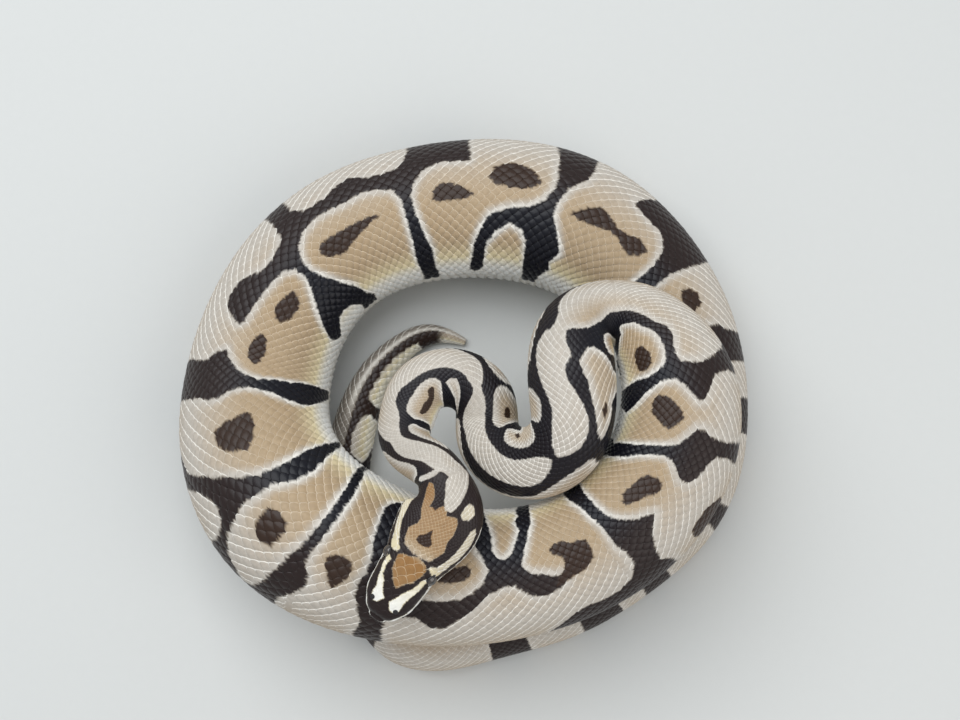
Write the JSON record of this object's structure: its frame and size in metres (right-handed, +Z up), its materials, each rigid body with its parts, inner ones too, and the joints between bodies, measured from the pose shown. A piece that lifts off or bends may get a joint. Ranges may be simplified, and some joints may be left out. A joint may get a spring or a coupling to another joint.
{
  "type": "coiled ball python",
  "caption": "Adult ball python resting in a two-layer coil, neck folded across the middle and head laid on top; still life-size model.",
  "frame": {"origin": "on the floor under the middle of the coil's box", "axes": "+Z up, +X along the coil's longer side in plan, the snout points towards -X and -Y"},
  "size_m": [0.2014, 0.191, 0.0805],
  "materials": {
    "head_scales": "satin scales, golden brown crown with dark brown borders and cream lip lines",
    "neck_scales": "satin scales, pale stripe between black stripes",
    "trunk_scales": "satin overlapping scales, tan blotches in a dark brown network, white belly edge",
    "tail_scales": "satin scales, grey brown and cream with dark bars",
    "eyes": "wet gloss, dark brown iris behind a clear scale"
  },
  "bodies": {
    "root": {"head": "head_scales", "lower_jaw": "head_scales", "eye_left": "eyes", "eye_right": "eyes", "neck_1": "neck_scales", "neck_2": "neck_scales", "neck_3": "neck_scales", "neck_4": "neck_scales", "trunk_1": "trunk_scales", "trunk_2": "trunk_scales", "trunk_3": "trunk_scales", "trunk_4": "trunk_scales", "trunk_5": "trunk_scales", "trunk_6": "trunk_scales", "trunk_7": "trunk_scales", "trunk_8": "trunk_scales", "trunk_9": "trunk_scales", "trunk_10": "trunk_scales", "trunk_11": "trunk_scales", "trunk_12": "trunk_scales", "trunk_13": "trunk_scales", "tail_1": "tail_scales", "tail_2": "tail_scales"}
  },
  "joints": []
}
